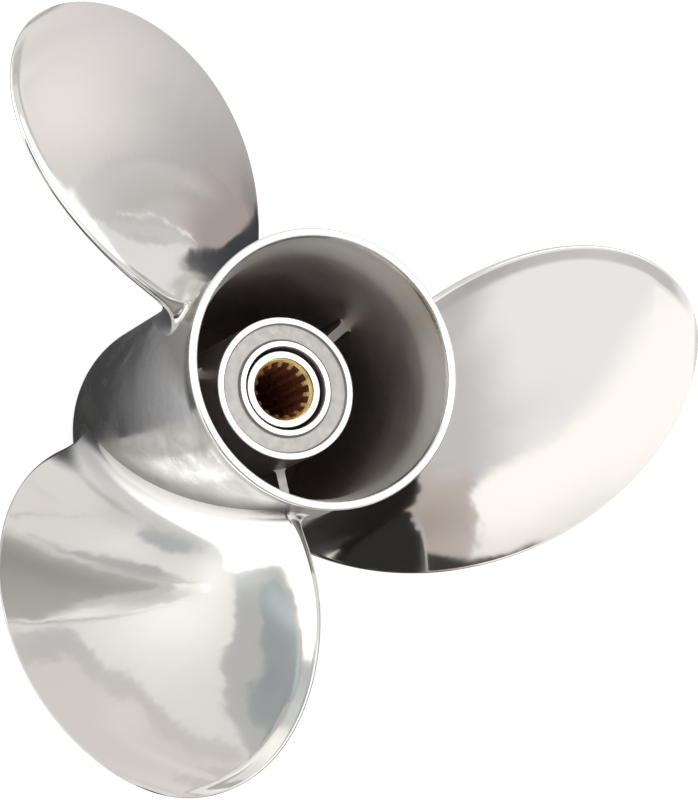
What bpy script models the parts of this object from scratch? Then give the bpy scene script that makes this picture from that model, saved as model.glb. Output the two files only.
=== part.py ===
"""Three-blade, right-hand, through-hub-exhaust propeller in polished stainless steel.

Frame: metres, +Z along the shaft axis towards the aft (exhaust) end. The origin is on the shaft axis, in the plane
of the barrel's forward rim, on which the propeller stands. Blade 1 points along +Y, and seen from aft the blades
follow each other anticlockwise every 120 degrees.

The blades, barrel, ribs and inner hub are one casting in the real thing. They are separate solids here, split where
one feature runs into the next, with a 0.3 mm parting between them.
"""

import math

import bpy
import bmesh

MM = 0.001
GAP = 0.3 * MM  # parting between neighbours

# Driving sizes
DIAMETER = 384.0 * MM  # 15 1/8 in
PITCH = 508.0 * MM  # 20 in, right-hand
BLADES = 3
RAKE = math.radians(18.85)

BARREL_LENGTH = 166.5 * MM
BARREL_R = 56.8 * MM  # outside, between the forward rim and the flare
BARREL_BORE_R = 53.4 * MM
TAIL_R = 61.0 * MM  # outside of the tail lip
TAIL_BORE_R = 57.3 * MM
FLARE_START = 146.0 * MM

HUB_FACE_DEPTH = 45.0 * MM  # the hub's aft face below the tail lip
HUB_R = 31.6 * MM
HUB_FRONT_Z = 9.0 * MM
HUB_RIM_R = 28.5 * MM
BOSS_R = 20.9 * MM
BOSS_BORE_R = 18.4 * MM
BUSH_SEAT_R = 27.2 * MM
RECESS = 1.6 * MM

RIB_ANGLE = math.radians(4.0)  # first rib, from +X
RIB_THICKNESS = 4.0 * MM
RIB_FILLET = 2.2 * MM
RIB_FRONT_Z = 22.0 * MM
RIB_AFT_Z = BARREL_LENGTH - 71.0 * MM

SLEEVE_R = 17.0 * MM
SLEEVE_BORE_R = 13.9 * MM
SLEEVE_FRONT_Z = 6.0 * MM
SLEEVE_AFT_Z = BARREL_LENGTH - HUB_FACE_DEPTH - 2.4 * MM
BUSH_RECESS = 1.6 * MM  # the splined bush ends this far inside the sleeve

SPLINE_TEETH = 15
SPLINE_MAJOR_R = 12.6 * MM
SPLINE_MINOR_R = 10.7 * MM
SPLINE_PHASE = math.radians(5.5)  # first tooth, from +X

# Blade rules, all at a radius r, with x = sqrt(1 - (r/R)^2), which falls from 0.955 at the root to 0 at the tip.
# Angles are about the shaft from the blade's own line, in degrees, positive towards the trailing edge.
LEAD_1, LEAD_2, LEAD_5 = 33.6, 20.4, 12.1
TRAIL_1, TRAIL_ROOT, TRAIL_POWER = 28.5, 15.7, 25
REF_R = 60.0 * MM
REF_Z = BARREL_LENGTH - 68.44 * MM  # blade line's height at REF_R
ROOT_T = 13.0 * MM  # greatest thickness at the root and at the tip
TIP_T = 3.4 * MM
ROOT_EDGE_T = 3.6 * MM  # thickness of the rounded edges
TIP_EDGE_T = 2.2 * MM
HOLLOW = 0.012  # how hollow the driving face is, as a share of the section's length
CUP_SLOPE_IN = math.tan(math.radians(6.0))  # the trailing edge's lip bends up to these slopes, near root and tip
CUP_SLOPE_OUT = math.tan(math.radians(15.0))
CUP_WIDTH = 10.0 * MM
CUP_BEND = 3.5 * MM
ROOT_FILLET = 10.0 * MM  # how far the root fillet runs out over the barrel, and how high up the blade
ROOT_FILLET_HEIGHT = 15.0 * MM
FILLET_POWER = 2.5
END_FILLET = 4.5 * MM  # fillet round the root's two ends

RADIAL_SEGMENTS = 72


def clear_scene():
    for ob in list(bpy.data.objects):
        bpy.data.objects.remove(ob, do_unlink=True)


def material(name, rgb, roughness, metallic):
    mat = bpy.data.materials.new(name)
    mat.use_nodes = True
    bsdf = mat.node_tree.nodes["Principled BSDF"]
    bsdf.inputs["Base Color"].default_value = (*rgb, 1.0)
    bsdf.inputs["Roughness"].default_value = roughness
    bsdf.inputs["Metallic"].default_value = metallic
    mat.diffuse_color = (*rgb, 1.0)
    return mat


def add_object(name, bm, mat, parent, turn=0.0, sharp_deg=32.0):
    bmesh.ops.recalc_face_normals(bm, faces=bm.faces)
    mesh = bpy.data.meshes.new(name)
    bm.to_mesh(mesh)
    bm.free()
    return add_mesh(name, mesh, mat, parent, turn, sharp_deg)


def add_mesh(name, mesh, mat, parent, turn=0.0, sharp_deg=32.0):
    if not mesh.materials:
        mesh.materials.append(mat)
        mesh.shade_smooth()
        mesh.set_sharp_from_angle(angle=math.radians(sharp_deg))
    ob = bpy.data.objects.new(name, mesh)
    ob.rotation_euler = (0.0, 0.0, turn)
    ob.parent = parent
    bpy.context.scene.collection.objects.link(ob)
    return ob


def turned(profile, segments=RADIAL_SEGMENTS, phase=0.0):
    """A closed (r, z) profile spun about the shaft axis."""
    bm = bmesh.new()
    rings = []
    for k in range(segments):
        a = phase + 2 * math.pi * k / segments
        ca, sa = math.cos(a), math.sin(a)
        rings.append([bm.verts.new((r * ca, r * sa, z)) for r, z in profile])
    n = len(profile)
    for k in range(segments):
        here, there = rings[k], rings[(k + 1) % segments]
        for i in range(n):
            j = (i + 1) % n
            bm.faces.new((here[i], there[i], there[j], here[j]))
    return bm


def rounded(points, radius, steps=3):
    """A closed profile with each convex or hollow corner marked True rounded to the radius."""
    out = []
    n = len(points)
    for i, (r, z, soft) in enumerate(points):
        if not soft:
            out.append((r, z))
            continue
        pr, pz, _ = points[i - 1]
        nr, nz, _ = points[(i + 1) % n]
        lp = math.hypot(pr - r, pz - z)
        ln = math.hypot(nr - r, nz - z)
        cut = min(radius, 0.45 * lp, 0.45 * ln)
        a = (r + (pr - r) / lp * cut, z + (pz - z) / lp * cut)
        b = (r + (nr - r) / ln * cut, z + (nz - z) / ln * cut)
        for k in range(steps + 1):
            t = k / steps
            out.append(
                tuple((1 - t) ** 2 * a[m] + 2 * t * (1 - t) * (r, z)[m] + t * t * b[m] for m in (0, 1))
            )
    return out


def smoothstep(lo, hi, v):
    t = min(1.0, max(0.0, (v - lo) / (hi - lo)))
    return t * t * (3 - 2 * t)


# ---------------------------------------------------------------- barrel, hub, ribs


def barrel_profile():
    """Plain tube, its wall swelling into the flared tail lip."""
    flare = []
    for k in range(1, 7):
        t = k / 6
        flare.append((t, FLARE_START + (BARREL_LENGTH - 2.2 * MM - FLARE_START) * t))
    outer = [(BARREL_R + (TAIL_R - BARREL_R) * t**1.7, z) for t, z in flare]
    inner = [(BARREL_BORE_R + (TAIL_BORE_R - BARREL_BORE_R) * t**1.5, z) for t, z in flare]
    lip = [
        (TAIL_R - 0.15 * MM, BARREL_LENGTH - 1.0 * MM),
        (TAIL_R - 0.9 * MM, BARREL_LENGTH),
        (TAIL_BORE_R + 1.1 * MM, BARREL_LENGTH),
        (TAIL_BORE_R + 0.25 * MM, BARREL_LENGTH - 1.0 * MM),
    ]
    nose = [
        (BARREL_BORE_R, 1.0 * MM),
        (BARREL_BORE_R + 0.8 * MM, 0.0),
        (BARREL_R - 0.9 * MM, 0.0),
        (BARREL_R, 1.0 * MM),
    ]
    return nose + [(BARREL_R, FLARE_START)] + outer + lip + inner[::-1] + [(BARREL_BORE_R, FLARE_START)]


def hub_profile():
    """Tube with a flange at its aft end, whose face carries a raised rim and a raised boss."""
    face = BARREL_LENGTH - HUB_FACE_DEPTH
    floor = face - RECESS
    flange = face - 11.0 * MM
    points = [
        (HUB_R, HUB_FRONT_Z, True),
        (HUB_R, face, True),
        (HUB_RIM_R, face, True),
        (HUB_RIM_R - 0.3 * MM, floor, True),
        (BOSS_R + 0.8 * MM, floor, True),
        (BOSS_R, face, True),
        (BOSS_BORE_R, face, True),
        (BOSS_BORE_R, flange, True),
        (BUSH_SEAT_R, flange, False),
        (BUSH_SEAT_R, HUB_FRONT_Z, True),
    ]
    return rounded(points, 0.7 * MM, 2)


def rib_rows(inner, outer, steps, across):
    """Plan of one rib along +X, as rows of points from the hub to the barrel. The web spreads by a fillet at each end,
    where the rows bend to lie along the hub or the barrel."""
    half = RIB_THICKNESS / 2
    spread = half + RIB_FILLET
    x0 = math.sqrt(inner**2 - spread**2)
    x1 = math.sqrt(outer**2 - spread**2)
    sides = []
    for k in range(steps + 1):
        a = math.pi / 2 * k / steps
        sides.append((x0 + RIB_FILLET * (1 - math.cos(a)), half + RIB_FILLET * (1 - math.sin(a)), inner))
    for k in range(steps + 1):
        a = math.pi / 2 * k / steps
        sides.append((x1 - RIB_FILLET * (1 - math.sin(a)), half + RIB_FILLET * (1 - math.cos(a)), outer))
    rows = []
    for x, y, radius in sides:
        row = []
        for j in range(across + 1):
            v = y * (1 - 2 * j / across)
            row.append((x + math.sqrt(radius**2 - v**2) - math.sqrt(radius**2 - y**2), v))
        rows.append(row)
    return rows


def rib(inner, outer, steps=5, across=4):
    bm = bmesh.new()
    rows = rib_rows(inner, outer, steps, across)
    low = [[bm.verts.new((x, y, RIB_FRONT_Z)) for x, y in row] for row in rows]
    high = [[bm.verts.new((x, y, RIB_AFT_Z)) for x, y in row] for row in rows]
    for grid in (low, high):
        for one, two in zip(grid, grid[1:]):
            for j in range(across):
                bm.faces.new((one[j], two[j], two[j + 1], one[j + 1]))
    border = [(i, 0) for i in range(len(rows))]
    border += [(len(rows) - 1, j) for j in range(1, across + 1)]
    border += [(i, across) for i in range(len(rows) - 2, -1, -1)]
    border += [(0, j) for j in range(across - 1, 0, -1)]
    for (i, j), (k, m) in zip(border, border[1:] + border[:1]):
        bm.faces.new((low[i][j], low[k][m], high[k][m], high[i][j]))
    bmesh.ops.triangulate(bm, faces=bm.faces)
    return bm


# ---------------------------------------------------------------- bushing, sleeve, splines


def bushing_profile():
    """Rubber between the hub's seat and the sleeve, waisted at its forward face."""
    aft = BARREL_LENGTH - HUB_FACE_DEPTH - 11.0 * MM - GAP
    front = HUB_FRONT_Z + 3.0 * MM
    r_in, r_out = SLEEVE_R + GAP, BUSH_SEAT_R - GAP
    return [
        (r_in, front + 1.0 * MM),
        (r_in + 2.0 * MM, front + 3.0 * MM),
        (r_out - 2.2 * MM, front + 2.0 * MM),
        (r_out - 1.0 * MM, front),
        (r_out, front + 1.0 * MM),
        (r_out, aft),
        (r_in, aft),
    ]


def sleeve_profile():
    bevel = 0.6 * MM
    return [
        (SLEEVE_BORE_R, SLEEVE_FRONT_Z + bevel),
        (SLEEVE_BORE_R + bevel, SLEEVE_FRONT_Z),
        (SLEEVE_R - bevel, SLEEVE_FRONT_Z),
        (SLEEVE_R, SLEEVE_FRONT_Z + bevel),
        (SLEEVE_R, SLEEVE_AFT_Z - bevel),
        (SLEEVE_R - bevel, SLEEVE_AFT_Z),
        (SLEEVE_BORE_R + 0.2 * MM, SLEEVE_AFT_Z),
        (SLEEVE_BORE_R, SLEEVE_AFT_Z - 0.2 * MM),
    ]


def spline_ring(major, minor):
    """One closed ring of points round the bore: flat-topped teeth with sloping flanks."""
    pitch = 2 * math.pi / SPLINE_TEETH
    pts = []
    for k in range(SPLINE_TEETH):
        c = SPLINE_PHASE + k * pitch
        for f, r in ((-0.5, major), (-0.27, major), (-0.17, minor), (0.0, minor), (0.17, minor), (0.27, major)):
            pts.append((r, c + f * pitch))
    return pts


def splined_bush():
    """Brass tube with internal splines and a plain chamfered mouth at each end."""
    bm = bmesh.new()
    r_out = SLEEVE_BORE_R - GAP
    front, aft = SLEEVE_FRONT_Z + BUSH_RECESS, SLEEVE_AFT_Z - BUSH_RECESS
    chamfer = 2.6 * MM
    mouth = r_out - 0.5 * MM
    inner = spline_ring(SPLINE_MAJOR_R, SPLINE_MINOR_R)
    levels = [
        ([(mouth, a) for _, a in inner], front),
        ([(r, a) for r, a in inner], front + chamfer),
        ([(r, a) for r, a in inner], aft - chamfer),
        ([(mouth, a) for _, a in inner], aft),
        ([(r_out, a) for _, a in inner], aft),
        ([(r_out, a) for _, a in inner], front),
    ]
    rings = [[bm.verts.new((r * math.cos(a), r * math.sin(a), z)) for r, a in pts] for pts, z in levels]
    n = len(inner)
    for s in range(len(rings)):
        here, there = rings[s], rings[(s + 1) % len(rings)]
        for i in range(n):
            j = (i + 1) % n
            bm.faces.new((here[i], here[j], there[j], there[i]))
    bmesh.ops.triangulate(bm, faces=bm.faces)
    return bm


# ---------------------------------------------------------------- blades


def edge_angles(r):
    x = math.sqrt(max(0.0, 1.0 - (2 * r / DIAMETER) ** 2))
    lead = -(LEAD_1 * x + LEAD_2 * x**2 + LEAD_5 * x**5)
    trail = TRAIL_1 * x - TRAIL_ROOT * x**TRAIL_POWER
    return math.radians(lead), math.radians(trail)


def fillet_at(height):
    """How far the root fillets stand out at a height above the barrel: (over the faces, round the ends)."""
    u = min(1.0, max(0.0, 1 - height / ROOT_FILLET_HEIGHT))
    v = min(1.0, max(0.0, 1 - height / END_FILLET))
    face = ROOT_FILLET * (1 - (1 - u**FILLET_POWER) ** (1 / FILLET_POWER))
    return face, END_FILLET * (1 - math.sqrt(1 - v * v))


def blade_section(r, along, around):
    """Closed ring of points at radius r: driving face from lead to trail, then the back."""
    tip = DIAMETER / 2
    root = BARREL_R + GAP
    lead, trail = edge_angles(r)
    slope = math.atan(PITCH / (2 * math.pi * r))
    length = (trail - lead) * r / math.cos(slope)
    u = (r - root) / (tip - root)
    edge = ROOT_EDGE_T + (TIP_EDGE_T - ROOT_EDGE_T) * min(1.0, u * 1.6)
    thick = TIP_T + (ROOT_T - TIP_T) * (1 - u) ** 1.35
    roll = min(1.0, max(0.0, (tip - r) / (1.2 * edge)))  # the tip closes round
    roll = math.sqrt(max(0.0, 1 - (1 - roll) ** 2))
    edge, thick = edge * roll, thick * roll
    cup = CUP_SLOPE_IN * smoothstep(root, root + 20 * MM, r)
    cup += (CUP_SLOPE_OUT - CUP_SLOPE_IN) * smoothstep(root + 20 * MM, root + 105 * MM, r)
    cup *= (1 - smoothstep(0.90 * tip, 0.998 * tip, r)) * roll
    hollow = HOLLOW * length * (1 - u)
    fillet, fillet_end = fillet_at(r - root)

    def mean(s):
        c = s / length
        into = min(length, CUP_WIDTH) - (length - s)
        rise = into**2 / (2 * CUP_BEND) if 0 < into < CUP_BEND else max(0.0, into - CUP_BEND / 2)
        return -hollow * 4 * c * (1 - c) - cup * (CUP_WIDTH - CUP_BEND / 2) * c + cup * rise

    def bulge(s):
        c = min(1.0, max(0.0, s / length))
        return edge + (thick - edge) * max(0.0, 4 * c * (1 - c)) ** 0.85

    half = edge / 2
    span = length - edge
    stations = []
    for k in range(along + 1):
        t = k / along
        stations.append(half + span * (0.5 - 0.5 * math.cos(math.pi * t)) * 0.6 + span * t * 0.4)
    ring = [(s, mean(s) + half + fillet) for s in stations]
    for k in range(1, around):
        a = math.pi * k / around
        ring.append((length - half + (half + fillet_end) * math.sin(a), mean(length - half) + (half + fillet) * math.cos(a)))
    ring += [(s, mean(s) + half - bulge(s) - fillet) for s in reversed(stations)]
    for k in range(1, around):
        a = math.pi * k / around
        ring.append((half - (half + fillet_end) * math.sin(a), mean(half) - (half + fillet) * math.cos(a)))
    base = REF_Z + math.tan(RAKE) * (r - REF_R)
    points = []
    for s, off in ring:
        arc = lead * r + s * math.cos(slope) - off * math.sin(slope)
        z = base + PITCH * lead / (2 * math.pi) + s * math.sin(slope) + off * math.cos(slope)
        points.append((r, arc / r, z))
    return points


def blade_radii(rows):
    tip, root = DIAMETER / 2, BARREL_R + GAP
    radii = [root + ROOT_FILLET_HEIGHT * f for f in (0.0, 0.04, 0.13, 0.3, 0.55)]
    start = math.acos((root + 0.85 * ROOT_FILLET_HEIGHT) / tip)
    radii += [tip * math.cos(start * (1 - k / rows)) for k in range(rows)]
    return radii


def blade(along=14, around=6, rows=17):
    bm = bmesh.new()
    rings = []
    for r in blade_radii(rows):
        rings.append(
            [bm.verts.new((p * math.cos(a + math.pi / 2), p * math.sin(a + math.pi / 2), z)) for p, a, z in blade_section(r, along, around)]
        )
    n = len(rings[0])
    for here, there in zip(rings, rings[1:]):
        for i in range(n):
            j = (i + 1) % n
            bm.faces.new((here[i], here[j], there[j], there[i]))
    # tip: one point
    base = REF_Z + math.tan(RAKE) * (DIAMETER / 2 - REF_R)
    apex = bm.verts.new((0.0, DIAMETER / 2, base))
    last = rings[-1]
    for i in range(n):
        bm.faces.new((last[i], last[(i + 1) % n], apex))
    # foot: rows of points laid on the cylinder between the face side and the back side
    root = BARREL_R + GAP
    first = rings[0]
    face_side = first[: along + 1]
    back_side = first[along + around : 2 * along + around + 1][::-1]

    def polar(v):
        return math.atan2(v.co.y, v.co.x), v.co.z

    lines = [face_side]
    for k in range(1, around):
        t = k / around
        row = []
        for f, b in zip(face_side, back_side):
            (fa, fz), (ba, bz) = polar(f), polar(b)
            a, z = fa + (ba - fa) * t, fz + (bz - fz) * t
            row.append(bm.verts.new((root * math.cos(a), root * math.sin(a), z)))
        lines.append(row)
    lines.append(back_side)
    for one, two in zip(lines, lines[1:]):
        for i in range(along):
            bm.faces.new((one[i], two[i], two[i + 1], one[i + 1]))
    trail_arc = first[along : along + around + 1]
    lead_arc = [first[0]] + first[2 * along + around :][::-1]
    for arc, end in ((trail_arc, -1), (lead_arc, 0)):
        for k in range(around):
            corners = [arc[k], arc[k + 1], lines[k + 1][end], lines[k][end]]
            bm.faces.new(list(dict.fromkeys(corners)))
    bmesh.ops.triangulate(bm, faces=[f for f in bm.faces if len(f.verts) > 3])
    return bm


# ---------------------------------------------------------------- assembly


def main():
    clear_scene()
    steel = material("polished_steel", (0.80, 0.79, 0.77), 0.06, 1.0)
    satin = material("satin_steel", (0.62, 0.60, 0.58), 0.42, 1.0)
    bright = material("machined_steel", (0.86, 0.85, 0.82), 0.18, 1.0)
    brass = material("brass", (0.80, 0.62, 0.28), 0.28, 1.0)
    rubber = material("rubber", (0.02, 0.02, 0.02), 0.75, 0.0)

    shaft = bpy.data.objects.new("shaft_axis", None)
    bpy.context.scene.collection.objects.link(shaft)

    add_object("outer_barrel", turned(barrel_profile()), steel, shaft)
    add_object("inner_hub", turned(hub_profile(), 60), satin, shaft)

    first = None
    for k in range(3):
        turn = RIB_ANGLE + 2 * math.pi * k / 3
        if first is None:
            first = add_object("rib_1", rib(HUB_R + GAP, BARREL_BORE_R - GAP), satin, shaft, turn)
        else:
            add_mesh(f"rib_{k + 1}", first.data, satin, shaft, turn)

    first = None
    for k in range(BLADES):
        turn = 2 * math.pi * k / BLADES
        if first is None:
            first = add_object("blade_1", blade(), steel, shaft, turn, 60.0)
        else:
            add_mesh(f"blade_{k + 1}", first.data, steel, shaft, turn)

    add_object("rubber_bushing", turned(bushing_profile(), 48), rubber, shaft)
    add_object("drive_sleeve", turned(sleeve_profile(), 48), bright, shaft)
    add_object("splined_bush", splined_bush(), brass, shaft)


main()
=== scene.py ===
"""Looks of a three-blade, through-hub-exhaust propeller in polished stainless steel, on a pale studio floor.

Metres, +Z along the shaft towards the aft end, origin on the shaft axis at the forward rim, on which it stands.
"""

import math

import bmesh
import bpy
import numpy as np
from mathutils import Matrix, Vector, geometry, noise


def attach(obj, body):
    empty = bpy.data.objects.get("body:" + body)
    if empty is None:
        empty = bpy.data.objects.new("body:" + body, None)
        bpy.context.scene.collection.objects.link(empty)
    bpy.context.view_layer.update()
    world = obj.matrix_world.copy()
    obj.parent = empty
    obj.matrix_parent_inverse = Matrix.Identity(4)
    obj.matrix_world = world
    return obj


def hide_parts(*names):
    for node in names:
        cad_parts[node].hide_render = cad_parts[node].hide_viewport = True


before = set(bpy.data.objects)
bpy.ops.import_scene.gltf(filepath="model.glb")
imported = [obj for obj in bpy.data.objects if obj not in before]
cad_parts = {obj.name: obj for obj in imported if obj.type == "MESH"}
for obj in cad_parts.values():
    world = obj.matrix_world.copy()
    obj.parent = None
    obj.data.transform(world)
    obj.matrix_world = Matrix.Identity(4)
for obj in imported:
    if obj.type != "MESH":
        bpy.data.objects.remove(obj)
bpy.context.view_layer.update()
scene = bpy.context.scene
MM = 0.001

# ------------------------------------------------------------------ sizes, as in the CAD model
DIAMETER = 384.0 * MM
PITCH = 508.0 * MM
RAKE = math.radians(18.85)
BARREL_LENGTH = 166.5 * MM
BARREL_R = 56.8 * MM
BARREL_BORE_R = 53.4 * MM
TAIL_R = 61.0 * MM
TAIL_BORE_R = 57.3 * MM
FLARE_START = 146.0 * MM
HUB_FACE = BARREL_LENGTH - 45.0 * MM
HUB_R = 31.6 * MM
HUB_FRONT_Z = 9.0 * MM
HUB_RIM_R = 28.5 * MM
BOSS_R = 20.9 * MM
BOSS_BORE_R = 18.4 * MM
BUSH_SEAT_R = 27.2 * MM
RECESS = 1.6 * MM
RIB_ANGLE = math.radians(4.0)
RIB_THICKNESS = 4.0 * MM
RIB_FILLET = 2.2 * MM
RIB_FRONT_Z = 22.0 * MM
RIB_AFT_Z = BARREL_LENGTH - 71.0 * MM
SLEEVE_R = 17.0 * MM
SLEEVE_BORE_R = 13.9 * MM
SLEEVE_FRONT_Z = 6.0 * MM
SLEEVE_AFT_Z = HUB_FACE - 2.4 * MM
BUSH_RECESS = 1.6 * MM
SPLINE_TEETH = 15
SPLINE_MAJOR_R = 12.6 * MM
SPLINE_MINOR_R = 10.7 * MM
SPLINE_PHASE = math.radians(5.5)
LEAD_1, LEAD_2, LEAD_5 = 33.6, 20.4, 12.1
TRAIL_1, TRAIL_ROOT, TRAIL_POWER = 28.5, 15.7, 25
REF_R = 60.0 * MM
REF_Z = BARREL_LENGTH - 68.44 * MM
ROOT_T = 13.0 * MM
TIP_T = 3.4 * MM
ROOT_EDGE_T = 3.6 * MM
TIP_EDGE_T = 2.2 * MM
HOLLOW = 0.012
CUP_SLOPE_IN, CUP_SLOPE_OUT = math.tan(math.radians(6.0)), math.tan(math.radians(15.0))
CUP_WIDTH = 10.0 * MM
CUP_BEND = 3.5 * MM
ROOT_FILLET = 10.0 * MM
ROOT_FILLET_HEIGHT = 15.0 * MM
FILLET_POWER = 2.5
END_FILLET = 4.5 * MM
SINK = 0.4 * MM  # how far a foot runs on inside the wall it grows from


def smoothstep(lo, hi, v):
    t = min(1.0, max(0.0, (v - lo) / (hi - lo)))
    return t * t * (3 - 2 * t)


# ------------------------------------------------------------------ mesh helpers


def make_object(name, bm, materials, sharp_deg=35.0, replaces=(), turn=0.0):
    bmesh.ops.recalc_face_normals(bm, faces=bm.faces)
    mesh = bpy.data.meshes.new(name)
    bm.to_mesh(mesh)
    bm.free()
    for mat in materials:
        mesh.materials.append(mat)
    mesh.shade_smooth()
    mesh.set_sharp_from_angle(angle=math.radians(sharp_deg))
    if turn:
        mesh.transform(Matrix.Rotation(turn, 4, "Z"))
    ob = bpy.data.objects.new(name, mesh)
    scene.collection.objects.link(ob)
    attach(ob, "root")
    if replaces:
        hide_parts(*replaces)
    return ob


def corner_round(points, steps=5):
    """Closed (r, z, radius, material) profile with each corner rounded to its radius."""
    out = []
    n = len(points)
    for i, (r, z, radius, mat) in enumerate(points):
        if radius <= 0:
            out.append((r, z, mat))
            continue
        pr, pz = points[i - 1][:2]
        nr, nz = points[(i + 1) % n][:2]
        lp, ln = math.hypot(pr - r, pz - z), math.hypot(nr - r, nz - z)
        u = ((pr - r) / lp, (pz - z) / lp)
        v = ((nr - r) / ln, (nz - z) / ln)
        half = math.acos(max(-1.0, min(1.0, u[0] * v[0] + u[1] * v[1]))) / 2
        cut = min(radius / math.tan(half), 0.48 * lp, 0.48 * ln)
        rad = cut * math.tan(half)
        mid = (u[0] + v[0], u[1] + v[1])
        ml = math.hypot(*mid)
        centre = (r + mid[0] / ml * rad / math.sin(half), z + mid[1] / ml * rad / math.sin(half))
        a0 = math.atan2(z + u[1] * cut - centre[1], r + u[0] * cut - centre[0])
        a1 = math.atan2(z + v[1] * cut - centre[1], r + v[0] * cut - centre[0])
        while a1 - a0 > math.pi:
            a1 -= 2 * math.pi
        while a1 - a0 < -math.pi:
            a1 += 2 * math.pi
        for k in range(steps + 1):
            a = a0 + (a1 - a0) * k / steps
            out.append((centre[0] + rad * math.cos(a), centre[1] + rad * math.sin(a), mat))
    return out


def turned(profile, segments):
    """A closed (r, z, material index) profile spun about the shaft axis; each span takes its first point's material."""
    bm = bmesh.new()
    rings = []
    for k in range(segments):
        a = 2 * math.pi * k / segments
        ca, sa = math.cos(a), math.sin(a)
        rings.append([bm.verts.new((p[0] * ca, p[0] * sa, p[1])) for p in profile])
    n = len(profile)
    for k in range(segments):
        here, there = rings[k], rings[(k + 1) % segments]
        for i in range(n):
            j = (i + 1) % n
            face = bm.faces.new((here[i], there[i], there[j], here[j]))
            face.material_index = profile[i][2]
    return bm


# ------------------------------------------------------------------ blades


def edge_angles(r):
    x = math.sqrt(max(0.0, 1.0 - (2 * r / DIAMETER) ** 2))
    lead = -(LEAD_1 * x + LEAD_2 * x**2 + LEAD_5 * x**5)
    trail = TRAIL_1 * x - TRAIL_ROOT * x**TRAIL_POWER
    return math.radians(lead), math.radians(trail)


def fillet_at(height):
    """How far the root fillets stand out at a height above the barrel: (over the faces, round the ends)."""
    u = max(0.0, 1 - height / ROOT_FILLET_HEIGHT)
    v = max(0.0, 1 - height / END_FILLET)
    face = ROOT_FILLET * (1 - (1 - u**FILLET_POWER) ** (1 / FILLET_POWER))
    return face, END_FILLET * (1 - math.sqrt(1 - v * v))


def blade_section(r, grow, along, around):
    """Closed ring at radius r, with the root fillets' offsets in grow."""
    tip, root = DIAMETER / 2, BARREL_R
    lead, trail = edge_angles(r)
    slope = math.atan(PITCH / (2 * math.pi * r))
    length = (trail - lead) * r / math.cos(slope)
    u = (r - root) / (tip - root)
    edge = ROOT_EDGE_T + (TIP_EDGE_T - ROOT_EDGE_T) * min(1.0, u * 1.6)
    thick = TIP_T + (ROOT_T - TIP_T) * (1 - u) ** 1.35
    roll = min(1.0, max(0.0, (tip - r) / (1.2 * edge)))
    roll = math.sqrt(max(0.0, 1 - (1 - roll) ** 2))
    edge, thick = edge * roll, thick * roll
    cup = CUP_SLOPE_IN * smoothstep(root, root + 20 * MM, r)
    cup += (CUP_SLOPE_OUT - CUP_SLOPE_IN) * smoothstep(root + 20 * MM, root + 105 * MM, r)
    cup *= (1 - smoothstep(0.90 * tip, 0.998 * tip, r)) * roll
    hollow = HOLLOW * length * (1 - u)
    fillet, fillet_end = grow

    def mean(s):
        c = s / length
        into = min(length, CUP_WIDTH) - (length - s)
        rise = into**2 / (2 * CUP_BEND) if 0 < into < CUP_BEND else max(0.0, into - CUP_BEND / 2)
        return -hollow * 4 * c * (1 - c) - cup * (CUP_WIDTH - CUP_BEND / 2) * c + cup * rise

    def bulge(s):
        c = min(1.0, max(0.0, s / length))
        return edge + (thick - edge) * max(0.0, 4 * c * (1 - c)) ** 0.85

    half = edge / 2
    span = length - edge
    stations = []
    for k in range(along + 1):
        t = k / along
        stations.append(half + span * (0.5 - 0.5 * math.cos(math.pi * t)) * 0.6 + span * t * 0.4)
    ring = [(s, mean(s) + half + fillet) for s in stations]
    for k in range(1, around):
        a = math.pi * k / around
        ring.append((length - half + (half + fillet_end) * math.sin(a), mean(length - half) + (half + fillet) * math.cos(a)))
    ring += [(s, mean(s) + half - bulge(s) - fillet) for s in reversed(stations)]
    for k in range(1, around):
        a = math.pi * k / around
        ring.append((half - (half + fillet_end) * math.sin(a), mean(half) - (half + fillet) * math.cos(a)))
    base = REF_Z + math.tan(RAKE) * (r - REF_R)
    points = []
    for s, off in ring:
        arc = lead * r + s * math.cos(slope) - off * math.sin(slope)
        z = base + PITCH * lead / (2 * math.pi) + s * math.sin(slope) + off * math.cos(slope)
        a = arc / r + math.pi / 2
        points.append((r * math.cos(a), r * math.sin(a), z))
    return points


def blade_mesh(along=72, around=12, rows=84, fillet_rows=16):
    tip, root = DIAMETER / 2, BARREL_R - 0.02 * MM
    rows_at = [(root - SINK, fillet_at(0.0))]
    for k in range(fillet_rows + 1):
        height = ROOT_FILLET_HEIGHT * (1 - math.cos(math.pi / 2 * k / fillet_rows))
        rows_at.append((root + height, fillet_at(height)))
    start = math.acos((root + ROOT_FILLET_HEIGHT) / tip)
    for k in range(1, rows):
        rows_at.append((tip * math.cos(start * (1 - k / rows)), (0.0, 0.0)))
    bm = bmesh.new()
    rings = [[bm.verts.new(p) for p in blade_section(r, grow, along, around)] for r, grow in rows_at]
    n = len(rings[0])
    for here, there in zip(rings, rings[1:]):
        for i in range(n):
            j = (i + 1) % n
            bm.faces.new((here[i], here[j], there[j], there[i]))
    apex = bm.verts.new((0.0, tip, REF_Z + math.tan(RAKE) * (tip - REF_R)))
    last = rings[-1]
    for i in range(n):
        bm.faces.new((last[i], last[(i + 1) % n], apex))
    # foot, inside the barrel wall: strips between the face side and the back side
    first = rings[0]
    face_side = first[: along + 1]
    back_side = first[along + around : 2 * along + around + 1][::-1]
    for i in range(along):
        bm.faces.new((face_side[i], back_side[i], back_side[i + 1], face_side[i + 1]))
    bm.faces.new(first[along : along + around + 1])
    bm.faces.new([first[0]] + first[2 * along + around :][::-1])
    return bm


# ------------------------------------------------------------------ barrel, hub, ribs, bushing, sleeve, splines


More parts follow.
